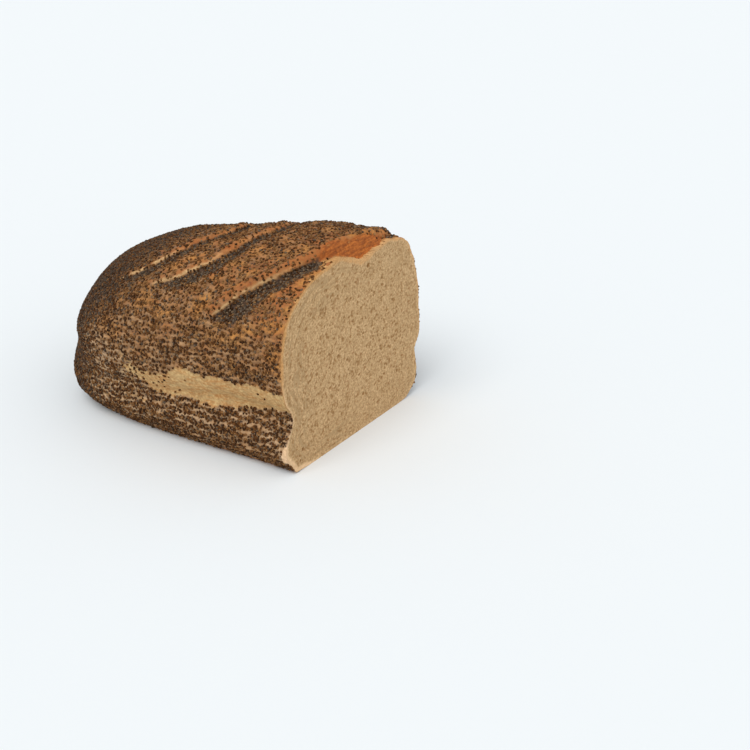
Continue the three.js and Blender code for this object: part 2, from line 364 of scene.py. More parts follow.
def slashShares(place, fromCut, angle):
    # how much of a valley, a lip and the orange glow behind it is where
    marks = slashMarks
    around = aroundOf(angle)
    shifted = strayed(fromCut, around)
    valley, lip, glow = (np.zeros_like(fromCut) for _ in range(3))
    rough = 0.6 * noise(place, 2.8, 21) + 0.4 * noise(place, 1.3, 23)
    patchy = smooth((noise(place, 5, 22) + 0.95) / 0.5)
    for number in range(len(slashLines)):
        ahead, strength = slashAt(number, shifted, around)
        strength = np.where(angle < lastAngle, smooth(strength / 0.5), 0)
        width = np.interp(around, marks["valleyRound"], marks["valleyWidth"][number])
        filled = smooth((ahead + 0.1 + 0.4 * rough) / 0.5) * smooth((width + 1.3 * rough - ahead) / 1.3)
        valley = np.maximum(valley, strength * filled)
        edge = smooth((0.25 + 0.4 * rough - ahead) / 0.5)
        edge *= smooth((ahead + marks["lipWidth"][number] + 0.9 * rough) / 0.7)
        lip = np.maximum(lip, strength * edge * patchy)
        behind = smooth((0.2 - ahead) / 0.5) * smooth((ahead + marks["glowWidth"][number] + 3 * rough) / 2.6)
        behind *= smooth((around + 14) / 12)  # it dies out on the far side of the crown
        glow = np.maximum(glow, strength * behind)
    torn, tear = tornShares(fromCut, angle, around, rough)
    bare = np.maximum(torn, tear)
    whole = 1 - bare
    return dict(valley=valley * whole, lip=lip * whole, glow=glow * whole, torn=torn, tear=tear, bare=bare)


def tornShares(fromCut, angle, around, rough):
    # the torn crust where the last slash opens, and the pale tear by the cut
    mark = tornCrust["around"]
    high = np.interp(around, mark, tornCrust["high"]) + 0.8 * rough
    low = np.interp(around, mark, tornCrust["low"]) + 0.7 * rough
    sideways = smooth((around - mark[0]) / 4) * smooth((mark[-1] + 4 * rough - around) / 5)
    sideways = np.where(angle < lastAngle, sideways, 0)
    torn = sideways * smooth((high - fromCut) / 0.9) * smooth((fromCut - low + 0.6) / 1.0)
    return torn, sideways * smooth((low - fromCut + 0.4) / 1.0)


def edgeShare(place, fromCut, angle):
    height = place[..., 2]
    seeded = np.maximum(smooth(np.cos(angle) / 0.4), smooth((33 - height) / 4))
    width = cutEdge["width"] * (1 - 0.9 * seeded) + cutEdge["ragged"] * noise(place, 2.2, 31)
    corner = bell((height - cutEdge["cornerHeight"]) / 7) * (np.cos(angle) < 0) * (angle < lastAngle)
    corner *= smooth((noise(place, 5, 32) + 0.8) / 0.8)
    return smooth((width + cutEdge["cornerWidth"] * corner - fromCut) / 0.4)


def newMaterial(name, look):
    material = bpy.data.materials.new(name)
    material.use_nodes = True
    tree = material.node_tree
    shader = tree.nodes["Principled BSDF"]
    shader.inputs["Roughness"].default_value = look["roughness"]
    shader.inputs["Specular IOR Level"].default_value = look["specular"]
    return material, tree, shader


def setInput(tree, socket, value):
    # links an output, or sets a value; a colour is three numbers up to 255
    if isinstance(value, bpy.types.NodeSocket):
        tree.links.new(value, socket)
    else:
        socket.default_value = linear(*value) if socket.type == "RGBA" else value


def makeNode(tree, kind, **inputs):
    node = tree.nodes.new("ShaderNode" + kind)
    for key, value in inputs.items():
        setInput(tree, node.inputs[key], value)
    return node


def attributeNode(tree, name):
    node = makeNode(tree, "Attribute")
    node.attribute_name = name
    return node.outputs["Fac"]


def noiseNode(tree, size, detail=3.0, roughness=0.55, stretch=(1, 1, 1)):
    # noise in the loaf's own space, its patches of about that size in mm, and stretched by axis
    place = makeNode(tree, "TexCoord").outputs["Object"]
    scale = [1 / (size * mm * share) for share in stretch]
    drawn = makeNode(tree, "Mapping", Vector=place, Scale=scale).outputs["Vector"]
    node = makeNode(tree, "TexNoise", Vector=drawn, Scale=1.0, Detail=detail, Roughness=roughness)
    return node.outputs["Fac"]


def rampNode(tree, source, stops):
    node = makeNode(tree, "ValToRGB", Fac=source)
    ramp = node.color_ramp
    while len(ramp.elements) < len(stops):
        ramp.elements.new(0.5)
    for element, (position, colour) in zip(ramp.elements, stops):
        element.position = position
        element.color = linear(*colour)
    return node.outputs["Color"]


def mixNode(tree, share, first, second, blend="MIX"):
    node = makeNode(tree, "Mix", Factor=share)
    node.data_type = "RGBA"
    node.blend_type = blend
    sockets = [item for item in node.inputs if item.type == "RGBA"]
    setInput(tree, sockets[0], first)
    setInput(tree, sockets[1], second)
    return next(item for item in node.outputs if item.type == "RGBA")


def mathNode(tree, kind, first, second):
    node = makeNode(tree, "Math")
    node.operation = kind
    setInput(tree, node.inputs[0], first)
    setInput(tree, node.inputs[1], second)
    return node.outputs["Value"]


def mapNode(tree, source, low, high, outLow=0.0, outHigh=1.0):
    ends = {"From Min": low, "From Max": high, "To Min": outLow, "To Max": outHigh}
    return makeNode(tree, "MapRange", Value=source, **ends).outputs["Result"]


def bumpNode(tree, shader, height, strength, distance):
    node = makeNode(tree, "Bump", Height=height, Strength=strength, Distance=distance * mm)
    tree.links.new(node.outputs["Normal"], shader.inputs["Normal"])


crustLook = {
    "toast": [  # the crust between the seeds, from its palest to its most baked
        (0.0, (208, 172, 132)), (0.3, (194, 154, 112)), (0.55, (180, 134, 90)),
        (0.8, (176, 121, 72)), (1.0, (182, 113, 60)),
    ],
    "gold": (200, 138, 70),  # golden patches
    "goldSize": 11.0,
    # what covers the toast, each over those before it: a colour, and paints mottled over that, each as
    # where it shows (a noise or an attribute), its colour, and the noise's range and strength
    "covers": {
        # valley: painted shade, the crust darkened in the slash hollows
        "valley": [(88, 68, 54)],
        "band": [
            (208, 172, 118), ("drawn", (204, 148, 88), 0.42, 0.62),
            ("fine", (216, 188, 132), 0.5, 0.75, 0.0, 0.8),
        ],
        "glow": [(188, 122, 64), ("fine", (162, 92, 44), 0.4, 0.62)],
        "lip": [(204, 140, 82), ("blotch", (180, 110, 58), 0.42, 0.58), ("cream", (222, 182, 128))],
        "torn": [
            (194, 112, 46), ("fibres", (148, 78, 30), 0.4, 0.6),
            ("fibres", (208, 150, 80), 0.6, 0.72, 0.0, 0.8),
        ],
        "tear": [(206, 158, 98), ("fibres", (188, 136, 80), 0.45, 0.62)],
        # edge: the seedless crust by the cut; its low part is pale crust brightened with painted light
        "edge": [(218, 166, 104), ("blotch", (200, 142, 84), 0.42, 0.58), ("low", (246, 206, 162))],
    },
    "between": (92, 66, 44),  # painted shade on the crust close between its seeds
    "betweenShare": 0.55,
    "speck": (66, 50, 40),  # seeds sunk in the crust, between those that stand on it
    "speckSize": 1.25,
    "speckShare": 0.7,
    "roughness": 0.72,
    "specular": 0.25,
}


def speckNode(tree, size, share):
    # round specks of about half that size in mm, on a share of the places
    place = makeNode(tree, "TexCoord").outputs["Object"]
    cells = makeNode(tree, "TexVoronoi", Vector=place, Scale=1 / (size * mm)).outputs
    near = mapNode(tree, cells["Distance"], 0.46, 0.36)
    parts = makeNode(tree, "SeparateColor", Color=cells["Color"]).outputs
    return mathNode(tree, "MULTIPLY", near, mathNode(tree, "LESS_THAN", parts["Red"], share))


def crustMaterial():
    look = crustLook
    material, tree, shader = newMaterial("toastedCrust", look)
    noises = {
        "blotch": noiseNode(tree, 6.5),
        "fine": noiseNode(tree, 1.4),
        "fibres": noiseNode(tree, 0.9, 4.0, 0.6, stretch=(1, 9, 1.2)),
        "drawn": noiseNode(tree, 1.6, 4.0, 0.65, stretch=(5, 1, 1)),
    }
    baked = attributeNode(tree, "toast")
    toast = mathNode(tree, "ADD", baked, mapNode(tree, noises["blotch"], 0.32, 0.68, -0.3, 0.3))
    toast = mathNode(tree, "ADD", toast, mapNode(tree, noises["fine"], 0.3, 0.7, -0.12, 0.12))
    colour = rampNode(tree, toast, look["toast"])
    golden = mapNode(tree, noiseNode(tree, look["goldSize"], 2.0), 0.48, 0.62, 0.0, 0.8)
    golden = mathNode(tree, "MULTIPLY", golden, mapNode(tree, baked, 0.25, 0.5))
    colour = mixNode(tree, golden, colour, look["gold"])
    for name, (cover, *paints) in look["covers"].items():
        for where, paint, *limits in paints:
            mask = mapNode(tree, noises[where], *limits) if limits else attributeNode(tree, where)
            cover = mixNode(tree, mask, cover, paint)
        share = attributeNode(tree, name)
        if name == "glow":
            patches = mapNode(tree, noises["blotch"], 0.36, 0.56, 0.25, 1.0)
            share = mathNode(tree, "MULTIPLY", share, patches)
        colour = mixNode(tree, share, colour, cover)
    seedy = attributeNode(tree, "seedy")
    # painted shade: the crust darkens where seeds lie close
    colour = mixNode(tree, mathNode(tree, "MULTIPLY", seedy, look["betweenShare"]), colour, look["between"])
    specks = mathNode(tree, "MULTIPLY", speckNode(tree, look["speckSize"], look["speckShare"]), seedy)
    colour = mixNode(tree, specks, colour, look["speck"])
    shade = rampNode(tree, noises["fine"], [(0.3, (212, 206, 200)), (0.65, (255, 255, 255))])
    colour = mixNode(tree, 1.0, colour, shade, "MULTIPLY")
    tree.links.new(colour, shader.inputs["Base Color"])
    bumpNode(tree, shader, noises["fine"], 0.5, 0.25)
    return material


crumbLook = {
    "crumb": (221, 186, 140),
    "crumbDeep": (166, 130, 86),
    # pore: darker inside the dents, partly the crumb's own browner cells and partly painted shade
    "pore": (150, 112, 68),
    "bran": (150, 102, 58),
    "streak": (176, 145, 104),
    # rimCream: the rim's pale crust where it is least warm, chiefly the near lower corner, brightened with
    # painted light
    "rimCream": (240, 203, 159),
    "rimWarm": (214, 158, 94),
    "rimDeep": (190, 136, 80),
    "roughness": 0.85,
    "specular": 0.15,
}


def crumbMaterial():
    look = crumbLook
    material, tree, shader = newMaterial("brownCrumb", look)
    grain = noiseNode(tree, 1.1, 5.0, 0.7)
    patch = noiseNode(tree, 7.0)
    colour = mixNode(tree, mapNode(tree, grain, 0.38, 0.64), look["crumb"], look["crumbDeep"])
    colour = mixNode(tree, mapNode(tree, patch, 0.45, 0.8, 0.0, 0.35), colour, look["crumbDeep"])
    # the pores' colour deepens with their depth, partly painted shade
    for name in ("streak", "bran", "pore"):
        colour = mixNode(tree, attributeNode(tree, name), colour, look[name])
    rim = mixNode(tree, mapNode(tree, grain, 0.4, 0.65), look["rimWarm"], look["rimDeep"])
    rim = mixNode(tree, attributeNode(tree, "warm"), look["rimCream"], rim)
    colour = mixNode(tree, attributeNode(tree, "rim"), colour, rim)
    tree.links.new(colour, shader.inputs["Base Color"])
    bumpNode(tree, shader, grain, 0.5, 0.2)
    return material


def seedMaterial(name, dark, pale):
    # a seed's tone is its place along the map, so that seeds of one kind differ
    material, tree, shader = newMaterial(name, seedForm)
    layer = makeNode(tree, "UVMap")
    layer.uv_map = "OFBake"
    parts = makeNode(tree, "SeparateXYZ", Vector=layer.outputs["UV"])
    colour = rampNode(tree, parts.outputs["X"], [(0.0, dark), (1.0, pale)])
    tree.links.new(colour, shader.inputs["Base Color"])
    return material


crustMesh = {
    "rings": 206,
    "endRings": 20,  # over the blunt tip of the rounded end
    "archSides": 262,
    "baseSides": 44,
    "swell": 0.35,  # the skin's unevenness, in mm
    "swellSize": 7,
    "pimple": 0.2,
    "pimpleSize": 2.4,
    "recess": 3,  # the crumb is let into the cut end by this much
    "skin": 0.8,
    "edgeBack": 0.05,  # the crust's cut edge lies this far behind the crumb's
}
crustTone = {  # how baked it is at these heights
    "heights": [0, 6, 14, 30, 48, 75, 92, 102],
    "toast": [0.7, 0.4, 0.14, 0.2, 0.45, 0.62, 0.8, 0.86],
    "under": 0.75,
    "nearCut": 0.3,  # the crown is more baked next to the cut
    "paleEnd": 0.25,  # and the sides less towards the rounded end
    "shadeFrom": 84,  # from here on the crown is painted with shade and strewn denser with seeds, and further on the sides
    "shadeLater": 29,
    "shadeLength": 34,
}


def evenRing(first, last, count):
    # angles round the section, whose places on its outline lie at even distances
    angles, radii = outlineAngle[first:last], outlineRadius[first:last]
    ring = np.stack([radii * np.cos(angles), radii * np.sin(angles)], axis=1)
    return evenSteps(ring, angles, count)


def crustGrid():
    # every crust point in mm, in rings from the cut on, each from the far edge over the top
    size = crustMesh
    fine = np.linspace(0, loafForm["length"] * 0.9993, 1500)
    shoulder = crustPoint(fine, np.full_like(fine, 0.8 * math.pi))
    rings = evenSteps(shoulder, fine, size["rings"])
    arch = evenRing(0, archEnd + 1, size["archSides"])
    base = evenRing(archEnd, None, size["baseSides"])[1:-1]
    fromCut, angle = np.meshgrid(rings, np.concatenate([arch, base]), indexing="ij")
    points = crustPoint(fromCut, angle)
    share = np.linspace(0, 1, size["endRings"] + 2)[1:-1, None]
    fromCut = np.concatenate([fromCut, fromCut[-1] + (loafForm["length"] - fromCut[-1]) * share])
    points = np.concatenate([points, points[-1] + (endTip - points[-1]) * share[..., None]])
    return fromCut, np.broadcast_to(angle[0], fromCut.shape), points


def gridNormals(points):
    along = np.gradient(points, axis=0)
    across = (np.roll(points, -1, axis=1) - np.roll(points, 1, axis=1)) / 2
    normal = np.cross(along, across)
    if normal[10, 10, 1:] @ (points[10, 10, 1:] - sectionMiddle) < 0:
        normal = -normal  # all of them face out
    return normal / np.maximum(lengths(normal)[..., None], 1e-9)


def skinRelief(points, angle, crust):
    # the skin's own unevenness in mm, rougher where it is torn
    size = crustMesh
    farSide = smooth(np.cos(angle) / 0.4)
    relief = size["swell"] * noise(points, size["swellSize"], 41)
    relief += size["pimple"] * (1 + 1.5 * farSide) * noise(points, size["pimpleSize"], 42)
    rough = noise(points, 1.5, 43) + 0.6 * noise(points, 0.9, 44)
    fibres = noise(points * np.array([1, 0.25, 0.6]), 1.1, 45)
    relief += 0.16 * rough * np.maximum(crust["lip"], crust["band"])
    relief += crust["bare"] * (0.35 * fibres + 0.12 * rough)
    return relief - bareBand["skinStep"] * crust["band"]


def crustTones(fromCut, height, standing):
    # how toasted the crust is, and how much painted shade darkens the rounded end
    tone = crustTone
    toast = np.interp(height, tone["heights"], tone["toast"])
    toast -= tone["paleEnd"] * smooth((fromCut - 80) / 30) * smooth((62 - height) / 20)
    toast = tone["under"] + (toast - tone["under"]) * standing
    toast += tone["nearCut"] * bell(fromCut / 16) * smooth((height - 52) / 12)
    start = tone["shadeFrom"] + tone["shadeLater"] * smooth((74 - height) / 28)
    return toast, smooth((fromCut - start) / tone["shadeLength"]) * standing


def buildCrust():
    # the crust's points, and what shows at each
    fromCut, angle, points = crustGrid()
    crust = slashShares(points, fromCut, angle)
    crust["cream"] = smooth((aroundOf(angle) - slashMarks["creamFrom"]) / 14)
    crust["band"] = bandShare(points, fromCut, angle)
    crust["edge"] = edgeShare(points, fromCut, angle)
    height = points[..., 2]
    standing = np.where(angle < lastAngle, 1, smooth((height - 3) / 2))  # nought on the underside
    relief = smooth(height / 6) * standing * skinRelief(points, angle, crust)
    push = gridNormals(points) * relief[..., None]
    push[0, :, 0] = 0
    points += push
    height = points[..., 2]
    toast, shade = crustTones(fromCut, height, standing)
    crust.update(fromCut=fromCut, angle=angle, points=points, normal=gridNormals(points))
    crust.update(toast=toast, shade=shade, low=smooth((34 - height) / 4))
    crust["seedy"] = smooth((seedDensity(crust) - 0.3) / 0.5)
    # painted shade: at the rounded end the crust takes the slash valleys' dark colour, and more seeds
    crust["valley"] = np.maximum(crust["valley"], 0.7 * shade)
    return crust


def setBack(x, flat):
    # places on the cut's plane, as points that far along the loaf
    return np.column_stack([np.broadcast_to(x, len(flat)), flat])


def drawnIn(flat, by):
    # places round the cut, drawn towards its middle by that much
    outward = flat - sectionMiddle
    return sectionMiddle + outward * (1 - by / lengths(outward)[:, None])


def crustPiece(crust):
    size = crustMesh
    points = crust["points"].copy()
    points[0, :, 0] -= size["edgeBack"]
    rings, sides = points.shape[:2]
    recessX = cutX - size["recess"]
    recess = setBack(recessX, drawnIn(points[0, :, 1:], size["skin"]))
    recessMiddle = setBack(recessX, sectionMiddle[None])
    everything = np.concatenate([points.reshape(-1, 3), recess, recessMiddle, endTip[None]])
    grid = np.arange((rings + 1) * sides).reshape(-1, sides)
    inner, last = grid[-1], grid[-2]
    rows = np.roll(grid, 1, axis=0)
    here, nextSide = rows[:-1], np.roll(rows[:-1], -1, axis=1)
    beyond, beyondNext = rows[1:], np.roll(rows[1:], -1, axis=1)
    middle, tip = (np.full(sides, len(everything) - back) for back in (2, 1))
    faces = triangles(
        (here, beyond, beyondNext), (here, beyondNext, nextSide),
        (middle, inner, np.roll(inner, -1)), (last, tip, np.roll(last, -1)),
    )
    # the map unrolls the crust, each ring a row of it
    u = np.append(np.tile(np.arange(sides) / sides, rings + 1), [0.5, 0.5])
    v = np.append(np.repeat(np.append(np.linspace(0.03, 0.99, rings), 0.01), sides), [0, 1])
    uv = np.stack([u[faces], v[faces]], axis=-1)
    wraps = (uv[..., 0].max(axis=1) - uv[..., 0].min(axis=1)) > 0.5
    isFan = (faces >= len(everything) - 2).any(axis=1)
    uv[..., 0] = np.where((wraps & ~isFan)[:, None] & (uv[..., 0] < 0.5), uv[..., 0] + 1, uv[..., 0])
    attributes = {}
    for key in ("toast", "cream", "low", "seedy", *crustLook["covers"]):
        attributes[key] = np.concatenate([crust[key].ravel(), np.full(sides + 1, key == "edge"), [0]])
    return meshPiece("loafCrust", crustMaterial(), everything, faces, uv, attributes)


crumbForm = {
    "cell": 0.38,
    "depth": 4,
    "wallIn": 0.4,  # its wall behind the cut leans in by this much
    "pores": 9500,
    "poreLeast": 0.22,
    "poreMost": 0.72,
    "poreSteepness": 5,  # how rare the larger pores are
    "holes": [  # the few larger ones, as [across, up, radius]
        [15, 87.9, 1.3], [41.7, 19.9, 1], [1.5, 62.9, 0.8], [-41.5, 10.9, 1.1], [-43.7, 5.5, 0.9],
        [-20.1, 86.7, 0.8], [33.1, 37.2, 0.8], [-41.9, 75.8, 0.8],
    ],
    "wave": 0.2,
    "grain": 0.07,
    # the crust's rim round the cut, by degrees from the far side
    "rimDegrees": [0, 50, 75, 88, 100, 125, 172, 182, 195, 206, 215, 225, 236, 310, 360],
    "rimWidth": [1.1, 1.3, 2.6, 3.4, 2.8, 1.8, 2.6, 1.5, 0.8, 0.9, 2.6, 3.4, 0.3, 0.4, 1.1],
    "rimWarmth": [0.7, 0.8, 0.8, 0.8, 0.9, 1, 1, 0.4, 0.2, 0, 0, 0, 0, 0.3, 0.7],
    "streakReach": 26,  # this far in the crumb is drawn out along the near crust
    "drawnReach": 14,  # and the pores by any crust
}


def rimReader(crust):
    # makes a function that turns places on the cut into angles and distances in from its rim
    angles, radii = polar(crust["points"][0, :, 1:] - sectionMiddle)
    angles = np.unwrap(angles)
    order = np.argsort(angles)
    angles, radii = angles[order], radii[order]
    angles, radii = np.append(angles, angles[0] + math.tau), np.append(radii, radii[0])

    def fromRim(flat):
        angle, radius = polar(flat - sectionMiddle)
        turned = (angle - angles[0]) % math.tau + angles[0]
        return angle, np.interp(turned, angles, radii) - radius

    return fromRim


def crumbSheet(fromRim, low, high):
    # a square mesh over the cut, and a table of which point lies where in its grid
    ranges = [np.arange(low[i], high[i], crumbForm["cell"]) for i in (0, 1)]
    places = np.stack(np.meshgrid(*ranges, indexing="ij"), axis=-1)
    inside = fromRim((places[:-1, :-1] + places[1:, 1:]) / 2)[1] > 0
    index = np.arange(places[..., 0].size).reshape(places.shape[:2])
    quads = np.stack([index[:-1, :-1], index[1:, :-1], index[1:, 1:], index[:-1, 1:]], axis=-1)[inside]
    used, quads = np.unique(quads, return_inverse=True)
    table = np.full(index.shape, -1)
    table.ravel()[used] = np.arange(len(used))
    return places.reshape(-1, 2)[used], quads.reshape(-1, 4), table


def borderLoop(quads):
    # the points round the sheet's border, in their order
    sides = np.concatenate([quads[:, [i, (i + 1) % 4]] for i in range(4)])
    many = quads.max() + 1
    code, mirrored = sides[:, 0] * many + sides[:, 1], sides[:, 1] * many + sides[:, 0]
    border = sides[~np.isin(code, mirrored)]
    follow = dict(border.tolist())
    loop = [int(border[0, 0])]
    while follow[loop[-1]] != loop[0]:
        loop.append(follow[loop[-1]])
    return np.array(loop)


def sinkPores(flat, table, low, high, fromRim, height, pore, random):
    # thousands of oval dents of mixed sizes
    form = crumbForm
    for _ in range(form["pores"]):
        centre = random.uniform(low, high)
        radius = random.random() ** form["poreSteepness"]
        radius = form["poreLeast"] + (form["poreMost"] - form["poreLeast"]) * radius
        stretch, turn, deep = random.uniform(1, 2), random.uniform(0, math.pi), random.uniform(0.5, 0.95)
        rimAngle, gap = fromRim(centre)
        if gap < 1.6:
            continue
        if gap < form["drawnReach"]:
            turn = rimAngle + math.pi / 2 + random.normal(0, 0.25)
            stretch = random.uniform(1.4, 3)
            radius *= 0.8
        long = radius * stretch
        first = np.maximum(((centre - long - low) / form["cell"]).astype(int), 0)
        last = ((centre + long - low) / form["cell"]).astype(int) + 2
        patch = table[first[0]:last[0], first[1]:last[1]]
        patch = patch[patch >= 0]
        across, up = (flat[patch] - centre).T
        along = (across * math.cos(turn) + up * math.sin(turn)) / long
        sideways = (up * math.cos(turn) - across * math.sin(turn)) / radius
        hole = np.sqrt(np.clip(1 - along ** 2 - sideways ** 2, 0, 1))
        height[patch] = np.minimum(height[patch], form["wave"] - deep * radius * 1.3 * hole)
        pore[patch] = np.maximum(pore[patch], smooth(hole * 1.3) * min(1, radius / 0.8))


def crumbRelief(flat, table, low, high, fromRim, distance):
    # heights in mm from the plane of the cut, none over it, and where the pores are
    form = crumbForm
    random = np.random.default_rng(5)
    place = setBack(0, flat)
    calm = smooth((distance - 0.3) / 2)
    height = form["wave"] * (noise(place, 3.5, 51) + 0.6 * noise(place, 1.6, 52))
    height += form["grain"] * random.standard_normal(len(flat))
    pore = np.zeros(len(flat))
    sinkPores(flat, table, low, high, fromRim, height, pore, random)
    height = (np.clip(height, -2.2, form["wave"] * 1.2) - form["wave"] * 1.2) * calm
    pore *= calm
    for across, up, radius in form["holes"]:
        hole = np.sqrt(np.clip(1 - ((flat - [across, up]) ** 2).sum(axis=1) / radius ** 2, 0, 1))
        height = np.minimum(height, np.where(hole > 0, -0.9 * radius * hole, height))
        pore = np.maximum(pore, smooth(hole * 1.5) * calm)
    return height, pore


def crumbShares(flat, angle, distance):
    # how much of the rim, its warmth, streaks and bran is where
    form = crumbForm
    place = setBack(0, flat)
    degrees = np.degrees(angle) % 360
    rimWidth = np.interp(degrees, form["rimDegrees"], form["rimWidth"])
    warm = np.interp(degrees, form["rimDegrees"], form["rimWarmth"])
    rim = smooth((rimWidth * (1 + 0.25 * noise(place, 4, 53)) + 0.3 - distance) / 1.5)
    rim *= 0.72 + 0.28 * noise(place, 1.4, 56) * smooth(distance)
    bran = smooth((noise(place, 0.9, 54) - 0.62) / 0.15) * 0.6
    drawn = np.stack([distance / 0.8, angle * 50 / 8, np.zeros(len(flat))], axis=1)
    nearSide = smooth(-np.cos(angle) / 0.5)
    streak = smooth((form["streakReach"] - distance) / 14) * (0.25 + 0.75 * nearSide)
    streak *= smooth((noise(drawn, 1, 55) + 0.1) / 0.5) * smooth((distance - rimWidth) / 1.5)
    return {"rim": rim, "warm": warm, "bran": bran, "streak": 0.75 * streak * smooth((distance - 0.3) / 2)}


def buildCrumb(crust):
    form = crumbForm
    fromRim = rimReader(crust)
    ring = crust["points"][0, :, 1:]
    low, high = ring.min(0) - 1, ring.max(0) + 1
    flat, quads, table = crumbSheet(fromRim, low, high)
    loop = borderLoop(quads)
    angle, distance = fromRim(flat)
    flat[loop] = drawnIn(flat[loop], -distance[loop, None])
    distance[loop] = 0
    height, pore = crumbRelief(flat, table, low, high, fromRim, distance)
    inward = drawnIn(flat[loop], form["wallIn"])
    wallX = cutX - form["depth"]
    everything = np.concatenate([
        setBack(cutX + height, flat), setBack(wallX, inward), setBack(wallX, sectionMiddle[None]),
    ])
    wall = len(flat) + np.arange(len(loop))
    nextLoop, nextWall = np.roll(loop, -1), np.roll(wall, -1)
    middle = np.full(len(loop), len(everything) - 1)
    a, b, c, d = quads.T
    faces = triangles(
        (a, b, c), (a, c, d), (loop, wall, nextWall), (loop, nextWall, nextLoop), (middle, nextWall, wall),
    )
    # the map is the plan of the cut, with the unseen back in a corner of it
    span = (high - low).max()
    plan = np.concatenate([flat, flat[loop] + (inward - flat[loop]) * 1.5, [sectionMiddle]])
    uv = (0.02 + 0.9 * (plan - low) / span)[faces]
    back = faces.max(axis=1) == len(everything) - 1
    uv[back] = 0.97 + 0.02 * (plan[faces[back]] - low) / span
    shares = dict(crumbShares(flat, angle, distance), pore=pore)
    attributes = {}
    for key, share in shares.items():
        attributes[key] = np.concatenate([share, np.full(len(loop) + 1, key in ("rim", "warm"))])
    return meshPiece("crumbFace", crumbMaterial(), everything, faces, uv, attributes)


seedForm = {
    "spacing": 0.85,  # of the grid of places
    "count": 34400,
    "length": 1.5,
    "breadth": 1.14,
    "height": 0.98,
    "vary": 0.12,
    "bend": 0.22,
    "lift": 0.12,  # how high a seed's middle lies over the skin
    "tilt": 0.175,
    "rowPitch": 2.8,
    "lowest": 0.9,  # none lies under the loaf
    "roughness": 0.6,
    "specular": 0.06,
}
seedCover = {  # seeds on each square mm, later scaled to their count, and the shares lost where few lie
    "plain": 0.66,
    "low": 0.3,
    "end": 0.4,
    "farSide": 0.1,
    "crown": -0.12,
    "slash": 1.35,
    "glowLoss": 0.36,
    "lipLoss": 0.88,
    "bareLoss": 0.97,
    "underLoss": 0.96,
}
seedKinds = {  # darkest and palest of each kind, and its share on the crown, the sides and in the slashes
    "seedsBlack": ((54, 33, 16), (78, 50, 26), 0.16, 0.36, 0.18),
    "seedsUmber": ((82, 50, 24), (112, 73, 38), 0.31, 0.31, 0.1),
    "seedsSlate": ((72, 60, 49), (102, 88, 74), 0.03, 0.03, 0.36),
    "seedsTawny": ((112, 76, 42), (150, 110, 68), 0.43, 0.23, 0.08),
    "seedsAsh": ((74, 57, 42), (130, 108, 84), 0.07, 0.07, 0.28),
}


def sampleGrid(values, row, column):
    # reads a crust grid between its points; columns go all the way round
    rows, columns = values.shape[:2]
    above = np.clip(np.floor(row).astype(int), 0, rows - 2)
    left = np.floor(column).astype(int) % columns
    right = (left + 1) % columns
    down, along = row - above, column - np.floor(column)
    if values.ndim == 3:
        down, along = down[:, None], along[:, None]
    top = values[above, left] * (1 - along) + values[above, right] * along
    bottom = values[above + 1, left] * (1 - along) + values[above + 1, right] * along
    return top * (1 - down) + bottom * down


def rowsAndClumps(place, angle):
    # the seeds lie in clumps, and along the sides in broken wavy rows with bare lines between
    onSide = 1 - 0.75 * smooth((place[..., 2] - 62) / 22)
    wave = aroundOf(angle) + 1.5 * noise(place, 4.5, 63) + 0.5 * noise(place, 1.8, 64)
    gap = smooth((np.sin(wave * math.tau / seedForm["rowPitch"]) - 0.15) / 0.7)
    gap *= onSide * smooth((noise(place * np.array([0.5, 1, 1]), 3, 65) + 0.75) / 0.6)
    clump = 1 + 0.25 * noise(place, 6, 61) + 0.4 * noise(place, 1.7, 62)
    return np.clip(clump, 0.35, 1.7) * (1 + 0.4 * onSide - 1.3 * gap)


def seedDensity(crust):
    cover, place, fromCut, angle = seedCover, crust["points"], crust["fromCut"], crust["angle"]
    height = place[..., 2]
    end = smooth((fromCut - 108 + 18 * smooth((height - 46) / 28)) / 34)
    density = cover["plain"] + cover["low"] * smooth((34 - height) / 5) + cover["end"] * end
    density += cover["farSide"] * smooth(np.cos(angle) / 0.5)
    density += cover["crown"] * smooth((height - 76) / 14)
    density *= rowsAndClumps(place, angle)
    density *= 1 - 0.3 * bell(fromCut / 13) * smooth((height - 50) / 12)
    density += (cover["slash"] - density) * crust["valley"]
    density *= 1 - cover["glowLoss"] * crust["glow"] * (1 - 0.6 * crust["cream"])
    for key in ("lip", "bare"):
        density *= 1 - cover[key + "Loss"] * crust[key]
    stray = np.interp(fromCut, bareBand["strayFrom"], bareBand["strayShare"])
    density *= (1 - crust["band"] * (1 - stray)) * (1 - crust["edge"])
    return density * (1 - cover["underLoss"] * smooth((3 - height) / 3))


def placeSeeds(crust, random):
    # a jittered grid of places over the crust, kept by chance where seeds are wanted
    points = crust["points"]
    rings, sides = points.shape[:2]
    steps = [lengths(np.diff(line, axis=0)).mean() for line in (points[:, sides // 2], points[0])]
    spans = np.array([rings - 1, sides])
    cells = (spans * steps / seedForm["spacing"]).astype(int)
    scale = spans / cells
    places = np.stack(np.meshgrid(*map(np.arange, cells), indexing="ij")).reshape(2, -1)
    row, column = (places + 0.5 + random.uniform(-0.46, 0.46, places.shape)) * scale[:, None]
    lastRow = rings - 1.001
    row = np.clip(row, 0.001, lastRow)
    sample = {key: sampleGrid(values, row, column) for key, values in crust.items()}

    def pointAt(row, column):
        return sampleGrid(points, np.clip(row, 0, lastRow), column)

    stepRow = pointAt(row + 0.5, column) - pointAt(row - 0.5, column)
    stepColumn = pointAt(row, column + 0.5) - pointAt(row, column - 0.5)
    area = lengths(np.cross(stepRow, stepColumn)) * scale[0] * scale[1]
    wanted = seedDensity(sample) * area
    wanted *= seedForm["count"] / np.minimum(wanted, 1).sum()
    kept = (random.random(len(row)) < wanted) & (sample["points"][:, 2] > seedForm["lowest"])
    print(f"seeds: {int(kept.sum())} on {area.sum():.0f} square mm")
    return {key: values[kept] for key, values in sample.items()}


